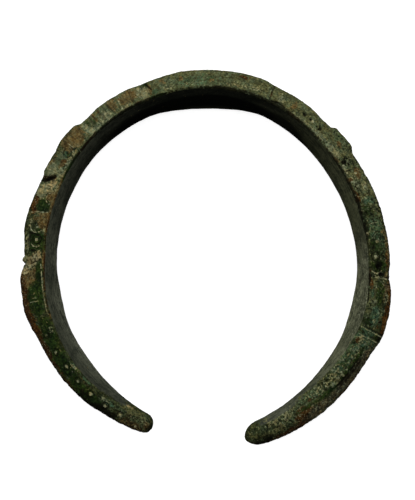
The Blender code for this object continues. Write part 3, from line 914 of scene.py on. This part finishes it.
# Angle, across, half length, half width and strength, as before.
TREATED_PATCHES = {
    "grains": (
        (134, 1.4, 12, 1.6, 1.3), (153, 1.6, 9, 1.8, 0.42), (160, -1.5, 9, 3, 0.3), (106, 2.2, 8, 2.6, 0.7),
        (70, 2, 10, 2, 0.4), (89, 2, 8, 2, 0.5), (120, 2.2, 2.4, 2.4, 0.7), (-158, 1.6, 7, 3, 0.45),
    ),
    "rough": (
        (82, 2.5, 30, 5, 1), (140, 3, 32, 7, 0.9), (-158, 2.5, 10, 6, 0.6), (-135, 6, 30, 2.4, 1),
        (-100, 6, 12, 2, 0.9), (-86, 2.4, 26, 3, 0.6), (40, 0.1, 50, 0.5, 0.9),
    ),
    "filed": (
        (-44, 2.6, 27, 4, 1.1), (-70, 2.6, 6, 4, 0.8),
    ),
    "overgrown": (
        (-161, -3, 8, 8, 1.3), (-149, -0.2, 6, 0.9, 1), (169, -3, 7, 8, 1.1), (136, 0.1, 14, 1, 0.8),
        (106, 0, 7, 0.35, 0.7),
    ),
    "bare": (
        (156, 0.5, 11, 1.6, 0.9), (-156, 0.2, 6, 0.9, 0.4),
    ),
    # Worn pale wall, and painted light: the entries 5 mm and more below the rim make the wall paler towards
    # its lower edge.
    "rubbed_and_lit": (
        (110, -7.4, 13, 3.6, 1), (100, -5.6, 8, 3.6, 0.85), (111, -1.5, 12, 3, 0.35), (92, -3.4, 5, 3, 0.55),
        (130, -3, 8, 7, 0.36), (130, -8, 16, 3, 0.45), (-118, -8, 28, 3.4, 0.85), (-109, -7.6, 6, 3.6, 1),
        (-90, -5, 6, 2.4, 0.6),
    ),
    "sallow": (
        (60, -4, 36, 9, 1), (114, -4, 34, 9, 0.6),
    ),
    "scuffed": (
        (104, -3.5, 18, 8, 1),
    ),
    # Painted shade: the back of the wall, and the rim near the left tip, darkened where the light doesn't
    # reach.
    "shade": (
        (0, -1, 46, 3.4, 0.89), (-14, -5.6, 44, 4.6, 1), (5, -5.4, 40, 4.6, 1), (30, -5.4, 14, 4.6, 0.93),
        (37, -7, 9, 3, 0.95), (-136, 0.4, 14, 2.6, 0.38),
    ),
}

paint(bar.data, TREATED_PATCHES)

# %% [markdown]
# ## Striking the marks
#
# One tree presses every mark into the skin. Each point of the skin finds the nearest punch and the nearest
# line on the plan and sinks by the depth of that mark's profile at its distance. The tree also notes where
# soil has filled a mark and where a mark is open and dark, for the patina to use.

# %% Press the marks into the skin

# The shares of a dot's radius and of a ring's half width that are its flat bottom.
DOT_FLOOR = 0.55
RING_FLOOR = 0.2
# In millimetres: how long the hand's unsteadiness is, and how large the worn places are.
WAVER_LENGTH = 1.3
WORN_SIZE = 0.8


def nearest_mark(graph, helper, plan, labels):
    """Distance to the nearest of the helper's points on the plan, and the numbers that it carries."""
    index = graph.add("GeometryNodeSampleNearest", values={"Geometry": helper, "Sample Position": plan})
    place = graph.add("GeometryNodeSampleIndex", {"data_type": "FLOAT_VECTOR"}, {
        "Geometry": helper, "Value": graph.add("GeometryNodeInputPosition"), "Index": index,
    })
    distance = graph.vector_math("DISTANCE", plan, place, output="Value")
    return distance, read_points(graph, helper, labels, index)


def ring_profile(graph, distance, radius, half_width):
    """1 on a ring of this radius, and 0 past its half width or where the mark has no such ring."""
    present = graph.math("GREATER_THAN", radius, 0.0)
    off_ring = graph.math("ABSOLUTE", distance - radius)
    return graph.step(off_ring, half_width, half_width * RING_FLOOR) * present


def marks_tree():
    """Sinks the skin where a mark was struck or cut, and notes which marks are filled or open."""
    graph, given = start_tree("struck_marks", {
        "Punches": "Object", "Lines": "Object", "Ring width": "Float", "Waver": "Float", "Seed": "Float",
        "Material": "Material",
    })
    true_plan = graph.named("plan", "FLOAT_VECTOR")
    unsteady = graph.noise(true_plan, WAVER_LENGTH, given["Seed"]).other("Color")
    shake = graph.scale(graph.vector_math("SUBTRACT", unsteady, (0.5, 0.5, 0.5)), given["Waver"])
    plan = graph.vector_math("MULTIPLY_ADD", shake, (1.0, 1.0, 0.0), true_plan)
    worn = graph.step(graph.noise(true_plan, WORN_SIZE, given["Seed"] + 1.0), 0.36, 0.54)
    punch_points = helper_geometry(graph, given["Punches"])
    distance, punch = nearest_mark(graph, punch_points, plan, PUNCH_LABELS)
    dot = graph.step(distance, punch["dot"], punch["dot"] * DOT_FLOOR)
    half_ring = given["Ring width"] / 2.0
    ring = ring_profile(graph, distance, punch["ring"], half_ring) * (worn * 0.5 + 0.5)
    outer = ring_profile(graph, distance, punch["outer"], half_ring * 1.2) * (worn * 0.9 + 0.1)
    either_ring = graph.math("MAXIMUM", ring, outer)
    punch_depth = graph.math("MAXIMUM", dot * (1.0 - punch["filled"] * 0.6), either_ring)
    line_points = helper_geometry(graph, given["Lines"])
    gap, line = nearest_mark(graph, line_points, plan, ("width", "deep", "filled"))
    line_profile = graph.step(gap, line["width"] / 2.0, 0.0)
    depth = graph.math("MAXIMUM", punch["deep"] * punch_depth, line["deep"] * line_profile)
    line_face = graph.step(gap, line["width"] / 2.0, line["width"] * 0.2)
    filled = graph.math("MAXIMUM", dot * punch["filled"], line_profile * line["filled"] * (worn * 0.4 + 0.6))
    filled = graph.math("MAXIMUM", filled, outer * punch["outer_filled"] * 0.8)
    open_mark = graph.math("MAXIMUM", ring, dot * (1.0 - punch["filled"]))
    open_mark = graph.math("MAXIMUM", open_mark, outer * (1.0 - punch["outer_filled"]))
    cut = line_face * graph.step(line["deep"], 0.03, 0.16) * (1.0 - line["filled"])
    open_mark = graph.math("MAXIMUM", open_mark, cut)
    kept = keep_attribute(graph, given["Geometry"], "filled", filled)
    kept = keep_attribute(graph, kept, "open_mark", open_mark)
    return end_tree(graph, graph.push_out(kept, -depth), given["Material"])


run_tree(bar, marks_tree(), {
    "Punches": punches, "Lines": lines, "Ring width": 0.38, "Waver": 0.32, "Seed": 5.0, "Material": patina,
})

# %% [markdown]
# ## Corrosion
#
# Buried bronze doesn't stay smooth. The whole surface is a little uneven, the crust on the outer faces is
# lumpy, grains stand up on the right arm, and pits open where it has flaked. The inner wall rubbed against an
# arm for years and stayed the smoothest. Each of these is one noise with its own size and height. The sum
# moves the points of the skin. Without the broad swell it is also kept, as the crust's height for the patina.

# %% Corrode the skin

# All in millimetres.
SWELL_SIZE = 3.4
LUMP_SIZE = 0.95
GRAIN_SIZE = 0.55
PIT_SPACING = 1.5


def crust_tree():
    """Swells, lumps, grains and pits, and nothing below the floor."""
    graph, given = start_tree("crust", {
        "Swell": "Float", "Lumps": "Float", "Grains": "Float", "Pits": "Float", "Seed": "Float",
        "Material": "Material",
    })
    place = graph.scale(graph.add("GeometryNodeInputPosition"), 1 / MM)
    seed = given["Seed"]
    across = graph.parts(graph.named("plan", "FLOAT_VECTOR"))[1]
    off_wall = graph.step(across, -0.4, 0.3)
    smooth_green = graph.step(graph.named("green"), 0.6, 1.1)
    rough = (off_wall * 0.6 + 0.2) * (1.0 - smooth_green * 0.5) + graph.named("rough") * 0.5
    swell = graph.uneven(place, SWELL_SIZE, seed, given["Swell"])
    lumps = graph.uneven(place, LUMP_SIZE, seed + 1.0, given["Lumps"], detail=3.0, roughness=0.65) * rough
    cells = graph.add("ShaderNodeTexVoronoi", {"voronoi_dimensions": "4D", "feature": "SMOOTH_F1"}, {
        "Vector": place, "W": seed + 2.0, "Scale": 1 / GRAIN_SIZE, "Smoothness": 0.3,
    }, "Distance")
    grains = graph.step(cells, 0.75, 0.15) * graph.step(graph.named("grains"), 0.2, 0.9) * given["Grains"]
    holes = graph.add("ShaderNodeTexVoronoi", {"voronoi_dimensions": "4D"}, {
        "Vector": place, "W": seed, "Scale": 1 / PIT_SPACING,
    }, "Distance")
    chance, second_chance, _ = graph.parts(holes.other("Color"))
    radius = chance * 0.16 + 0.06
    pits = graph.step(holes, radius, radius * 0.4) * graph.math("GREATER_THAN", second_chance, 0.45)
    pits = pits * given["Pits"] * rough
    height = swell + lumps + grains - pits
    kept = keep_attribute(graph, given["Geometry"], "crust", lumps + grains - pits)
    moved = graph.push_out(kept, height)
    x, y, z = graph.parts(graph.add("GeometryNodeInputPosition"))
    grounded = graph.vector(x, y, graph.math("MAXIMUM", z, 0.0))
    rested = graph.add("GeometryNodeSetPosition", values={"Geometry": moved, "Position": grounded})
    return end_tree(graph, rested, given["Material"])


run_tree(bar, crust_tree(), {
    "Swell": 0.13, "Lumps": 0.24, "Grains": 0.16, "Pits": 0.20, "Seed": 8.0, "Material": patina,
})

# %% [markdown]
# ## The patina
#
# The colours lie in layers, as they grew: a dark olive ground, pale silt baked on over the back of the ring,
# brown oxide, smooth green, and soil in whatever is hollow. Each layer is one colour mix. Its factor is the
# strength painted on the plan, pushed up and down by noise and then cut off sharply, so that its edge breaks
# up like a real stain's. Position comes from the object's own coordinates, so nothing slides or has a seam.

# %% Name the colours

COLOURS = {
    "ground_dark": (0.013, 0.018, 0.006),
    "ground": (0.058, 0.066, 0.026),
    "silt_dark": (0.056, 0.060, 0.025),
    "silt": (0.122, 0.134, 0.062),
    "teal_dark": (0.028, 0.046, 0.022),
    "teal": (0.058, 0.112, 0.060),
    "rust_dark": (0.015, 0.006, 0.001),
    "rust": (0.108, 0.045, 0.009),
    "tan_dark": (0.062, 0.038, 0.012),
    "tan": (0.160, 0.118, 0.046),
    "dun_dark": (0.022, 0.018, 0.009),
    "dun": (0.100, 0.088, 0.054),
    "maroon_dark": (0.007, 0.003, 0.001),
    "maroon": (0.060, 0.026, 0.008),
    "green_dark": (0.002, 0.008, 0.001),
    "green": (0.026, 0.050, 0.009),
    "pale": (0.116, 0.121, 0.062),
    "cream_dark": (0.060, 0.047, 0.020),
    "cream": (0.350, 0.290, 0.150),
    # Pale sand, also used as the painted highlight on the tops of grains.
    "sand": (0.262, 0.260, 0.148),
    # Black, for oxide and open marks, and for painted shade on the outer crest and in the crust's hollows.
    "dark": (0.0028, 0.0024, 0.0010),
    "wall_dark": (0.032, 0.037, 0.026),
    "wall": (0.098, 0.106, 0.072),
    "wall_warm": (0.150, 0.136, 0.098),
    # Worn pale wall, also used as painted light towards the wall's lower edge.
    "wall_rubbed": (0.245, 0.258, 0.180),
    "wall_bright": (0.400, 0.420, 0.310),
    # Painted shade, nearly black, for the back of the wall.
    "wall_shade": (0.0022, 0.0026, 0.0018),
    "filling_dark": (0.170, 0.150, 0.072),
    "filling": (0.400, 0.380, 0.225),
    "sallow": (1.01, 1.00, 0.77),
    "cold": (0.87, 1.02, 1.10),
    "warm": (1.13, 1.01, 0.79),
}
print(len(COLOURS), "colours")

# %% Make the noises and the ways to mix

patina.use_nodes = True
graph = Graph(patina.node_tree)
shader = patina.node_tree.nodes["Principled BSDF"]
place = graph.scale(graph.add("ShaderNodeTexCoord", output="Object"), 1 / MM)


def painted(name, output="Fac"):
    """What was painted on the plan or kept by a tree, read from the points of the mesh."""
    return graph.add("ShaderNodeAttribute", {"attribute_name": name}, output=output)


def colour(value):
    """A colour by its name, or what a node puts out, as it is."""
    return (*COLOURS[value], 1.0) if isinstance(value, str) else value


def mix(factor, under, over):
    """One colour over another. Each is the name of a colour, or what a node puts out."""
    return graph.add("ShaderNodeMix", {"data_type": "RGBA"}, {
        "Factor": factor, "A": colour(under), "B": colour(over),
    }, "Result")


def swing(size, seed, detail=3.0, roughness=0.6, at=place):
    """Noise that swings about evenly between -1 and 1."""
    return (graph.noise(at, size, seed, detail, roughness) - 0.5) * 4.0


plan = painted("plan", "Vector")
clouds = swing(2.8, 1.0)
mottle = swing(1.0, 2.0, detail=4.0, roughness=0.65)
stain = swing(0.75, 4.0, detail=4.0, roughness=0.65)
speck = swing(0.42, 3.0)
grit = swing(0.36, 6.0, detail=1.0)
flecks = swing(0.30, 7.0, detail=1.0)
file_marks = swing(0.34, 8.0, at=graph.vector_math("MULTIPLY", plan, (1.0, 0.2, 1.0)))
streaks = swing(0.45, 9.0, at=graph.vector_math("MULTIPLY", plan, (0.14, 1.0, 1.0)))
ragged = stain * 0.45 + speck * 0.35 + grit * 0.15 + clouds * 0.12


def layer(name):
    """Where this kind of patch shows, with its outline broken up."""
    return graph.step(painted(name) + ragged, 0.40, 0.66)


print("the patina's noises take", len(graph.tree.nodes), "nodes")

# %% [markdown]
# ### The outer faces
#
# From the ground up: silt, then the stains one by one, the smooth green, and the pale and cream dust. Grains
# are pale on top, a painted highlight, and the low places and pits of the crust are dark, painted shade. Pale
# and dark flecks follow, and a tint that turns some stains cold and others warm. Last comes a fine grain,
# which runs across the bar where it was filed.

# %% Lay the layers on the faces

skin = mix(graph.step(mottle + speck * 0.6, -0.7, 0.8), "ground_dark", "ground")
silt = mix(graph.step(mottle * 0.7 + speck * 0.6, -0.8, 0.9), "silt_dark", "silt")
skin = mix(layer("silt"), skin, silt)
depth_of_colour = graph.step(speck * 0.7 + mottle * 0.5, -0.8, 0.8)
for name, cover in (("teal", 0.88), ("rust", 0.92), ("tan", 0.92), ("dun", 0.85), ("maroon", 0.92)):
    skin = mix(layer(name) * cover, skin, mix(depth_of_colour, name + "_dark", name))
green = mix(graph.step(speck * 0.8 + clouds * 0.5, -0.7, 0.9), "green_dark", "green")
skin = mix(layer("green") * 0.94, skin, green)
skin = mix(layer("pale") * 0.9, skin, mix(graph.step(speck + stain * 0.5, -0.4, 0.9), "pale", "sand"))
cream = mix(graph.step(speck + stain * 0.5, -0.8, 0.6), "cream_dark", "cream")
skin = mix(layer("cream") * 0.9, skin, cream)

# Painted highlight on the tops of the grains, and painted shade in the low places and pits of the crust.
grain_tops = graph.step(painted("crust"), 0.05, 0.13) * graph.step(painted("grains"), 0.3, 0.9)
skin = mix(grain_tops * 0.54, skin, "sand")
skin = mix(graph.step(painted("crust"), -0.02, -0.14) * 0.85, skin, "dark")

rough = graph.step(painted("rough"), 0.2, 1.0)
pale_flecks = graph.step(flecks + mottle * 0.3 + rough * 0.2, 0.50, 1.0) * (1.0 - layer("green") * 0.6)
skin = mix(pale_flecks * 0.55, skin, "sand")
skin = mix(graph.step(flecks + stain * 0.3 - rough * 0.2, -0.55, -1.0) * 0.7, skin, "dark")
tint = mix(graph.step(stain + clouds * 0.4, -0.7, 0.7), "cold", "warm")
skin = graph.vector_math("MULTIPLY", skin, tint)
filed = graph.step(painted("filed"), 0.2, 0.8)
grain = grit + (file_marks - grit) * filed * 0.75
skin = graph.scale(skin, graph.step(grain, -0.9, 0.9) * 1.2 + 0.40)
print("with the faces", len(graph.tree.nodes), "nodes")

# %% [markdown]
# ### The inner wall
#
# The wall kept its plain metal, grey and streaked along the bar. It is paler where it was worn and scuffed,
# and paler towards its lower edge, which is painted light. It is a little yellow on the right, and black at
# the back, which is painted shade. It ends at the rim, in an unsteady line, and higher up or lower down where
# metal or crust reaches over.

# %% Colour the inner wall

streaky = streaks * 0.65 + speck * 0.3 + grit * 0.3 + mottle * 0.3 + clouds * 0.5
wall = mix(graph.step(streaky, -0.6, 0.6), "wall_dark", "wall")
wall = mix(graph.step(streaky + stain * 0.4, 0.5, 1.1) * 0.6, wall, "wall_warm")
# Paler where worn, and towards the wall's lower edge, which is painted light.
wall = mix(painted("rubbed_and_lit") * graph.step(streaky + flecks * 0.3, -0.8, 0.7), wall, "wall_rubbed")
wall = mix(graph.step(flecks, -0.7, -1.1) * 0.6, wall, "ground_dark")
scuffs = mottle * 0.7 + speck * 0.6 + flecks * 0.3
wall = mix(graph.step(scuffs, 0.1, 0.9) * painted("scuffed") * 0.7, wall, "wall_bright")
wall = mix(graph.step(scuffs, -0.1, -0.9) * painted("scuffed") * 0.7, wall, "wall_dark")
wall = mix(painted("sallow"), wall, graph.vector_math("MULTIPLY", wall, COLOURS["sallow"]))
# Painted shade: the back of the wall goes nearly black.
wall = mix(painted("shade"), wall, "wall_shade")
across = graph.parts(plan)[1]
wall_edge = across - painted("bare") * 1.4 + mottle * 0.15 + speck * 0.1
wall_only = graph.step(wall_edge, 0.0, -0.3) * (1.0 - layer("overgrown"))
skin = mix(wall_only, skin, wall)
print("with the wall", len(graph.tree.nodes), "nodes")

# %% [markdown]
# ### Hollows, marks and shine
#
# Edges and hollows darken over everything else: black oxide along the rim, and painted shade along the outer
# crest. An open mark is nearly black, and a filled one is pale. The patina is dull, a little less so where it
# is smooth and green, and a fine bump roughens it.

# %% Darken the hollows, fill the marks and connect the shader

SPECULAR = 0.04
BUMP_STRENGTH = 0.8
BUMP_DISTANCE = 0.05

# Black oxide, and painted shade along the outer crest.
skin = mix(layer("dark") * 0.9, skin, "dark")
skin = mix(painted("open_mark") * 0.92, skin, "dark")
filling = mix(graph.step(speck + stain * 0.6, -0.9, 0.5), "filling_dark", "filling")
filling = graph.vector_math("MULTIPLY", filling, tint)
filled = painted("filled") * (grit * 0.4 + 0.95) + speck * 0.3
skin = mix(graph.step(filled, 0.15, 0.90) * 0.9, skin, filling)
roughness = graph.step(speck * 0.5 + clouds * 0.5, -0.8, 0.8) * 0.22 + 0.62 - layer("green") * 0.12
fine = grit * 0.5 + speck * 0.4 + mottle * 0.3
bump = graph.add("ShaderNodeBump", values={
    "Strength": BUMP_STRENGTH, "Distance": BUMP_DISTANCE * MM, "Height": fine,
})
for socket, value in (("Base Color", skin), ("Roughness", roughness), ("Normal", bump)):
    graph.tree.links.new(value.socket, shader.inputs[socket])
shader.inputs["Specular IOR Level"].default_value = SPECULAR
print("the whole patina takes", len(graph.tree.nodes), "nodes")

# %% [markdown]
# ## Handing the bracelet over
#
# The helper points have done their work and go. The skin rides on the one body and takes the place of the
# packed solid.

for helper in (rows, outline, punches, lines):
    bpy.data.objects.remove(helper)
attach(bar, "root")
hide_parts("bracelet")
